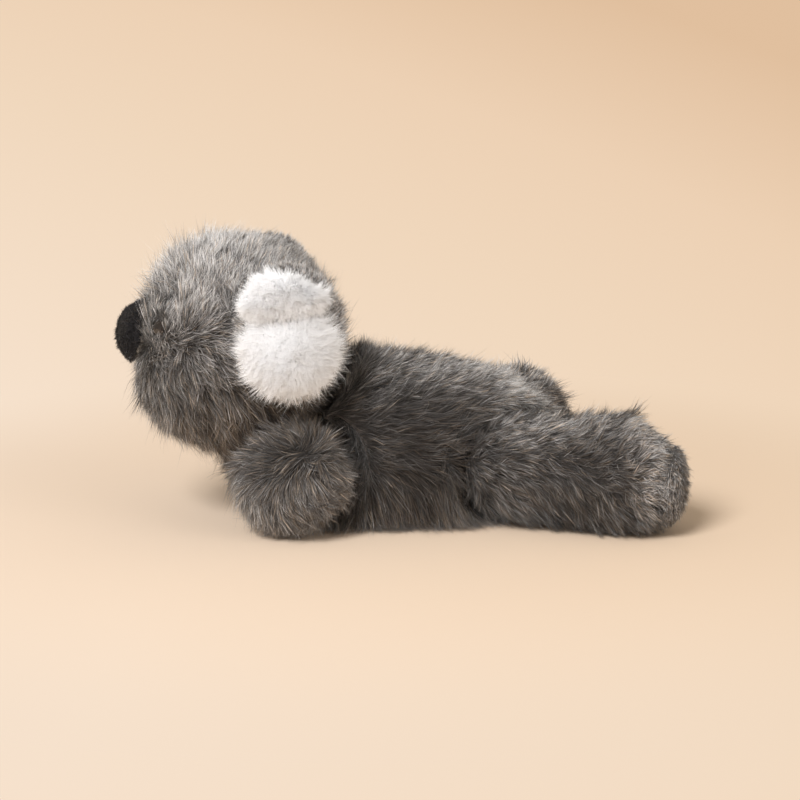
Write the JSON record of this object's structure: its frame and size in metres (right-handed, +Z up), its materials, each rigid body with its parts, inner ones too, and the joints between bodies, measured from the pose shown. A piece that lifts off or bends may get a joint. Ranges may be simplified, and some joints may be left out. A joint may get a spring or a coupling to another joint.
{
  "type": "plush koala",
  "caption": "Stuffed plush koala lying on its belly, long grey fur, white-fronted ears swept back, velour nose, bead eyes and stub limbs.",
  "frame": {"origin": "on the table under the middle of the toy's bounding box", "axes": "+Z up, the head towards -X and the feet towards +X, the toy's own left side towards -Y"},
  "size_m": [0.2872, 0.2138, 0.1495],
  "materials": {
    "grey_fur": "long acrylic pile, mixed grey with silver tips and dark roots",
    "white_fur": "long fluffy white pile",
    "nose_velour": "short black velour",
    "eye_bead": "glossy dark brown",
    "washer_nylon": "plain moulded",
    "stuffing": "loose polyester fibre"
  },
  "bodies": {
    "torso": {"body_skin": "grey_fur", "body_stuffing": "stuffing"},
    "head": {"head_skin": "grey_fur", "head_stuffing": "stuffing", "nose_cover": "nose_velour", "nose_stuffing": "stuffing", "eye_left": "eye_bead", "eye_right": "eye_bead", "eye_washer_left": "washer_nylon", "eye_washer_right": "washer_nylon"},
    "ear_left": {"ear_back_left": "grey_fur", "ear_lobe_left": "white_fur", "ear_fold_left": "white_fur"},
    "arm_left": {"arm_skin_left": "grey_fur", "arm_stuffing_left": "stuffing"},
    "leg_left": {"leg_skin_left": "grey_fur", "leg_stuffing_left": "stuffing", "sole_left": "grey_fur"},
    "ear_right": {"ear_back_right": "grey_fur", "ear_lobe_right": "white_fur", "ear_fold_right": "white_fur"},
    "arm_right": {"arm_skin_right": "grey_fur", "arm_stuffing_right": "stuffing"},
    "leg_right": {"leg_skin_right": "grey_fur", "leg_stuffing_right": "stuffing", "sole_right": "grey_fur"}
  },
  "joints": [
    {"name": "neck_nod", "type": "hinge", "parent": "torso", "child": "head", "pos_m": [-0.04065, -0.01657, 0.065], "axis": [0, 1, 0], "range_deg": [-6, 12], "stiffness_Nm_per_rad": 3},
    {"name": "ear_left_flap", "type": "hinge", "parent": "head", "child": "ear_left", "pos_m": [-0.08715, -0.07607, 0.1055], "axis": [0, 0, -1], "range_deg": [0, 40], "stiffness_Nm_per_rad": 0.03},
    {"name": "shoulder_left_swing", "type": "hinge", "parent": "torso", "child": "arm_left", "pos_m": [-0.05065, -0.04757, 0.0305], "axis": [0, 0, -1], "range_deg": [-15, 6], "stiffness_Nm_per_rad": 0.15},
    {"name": "hip_left_swing", "type": "hinge", "parent": "torso", "child": "leg_left", "pos_m": [0.05235, -0.05057, 0.032], "axis": [0, 0, -1], "range_deg": [-12, 12], "stiffness_Nm_per_rad": 0.2},
    {"name": "ear_right_flap", "type": "hinge", "parent": "head", "child": "ear_right", "pos_m": [-0.08715, 0.04293, 0.1055], "axis": [0, 0, 1], "range_deg": [0, 40], "stiffness_Nm_per_rad": 0.03},
    {"name": "shoulder_right_swing", "type": "hinge", "parent": "torso", "child": "arm_right", "pos_m": [-0.05065, 0.01443, 0.0305], "axis": [0, 0, 1], "range_deg": [-15, 6], "stiffness_Nm_per_rad": 0.15},
    {"name": "hip_right_swing", "type": "hinge", "parent": "torso", "child": "leg_right", "pos_m": [0.05235, 0.01743, 0.032], "axis": [0, 0, 1], "range_deg": [-12, 12], "stiffness_Nm_per_rad": 0.2}
  ]
}
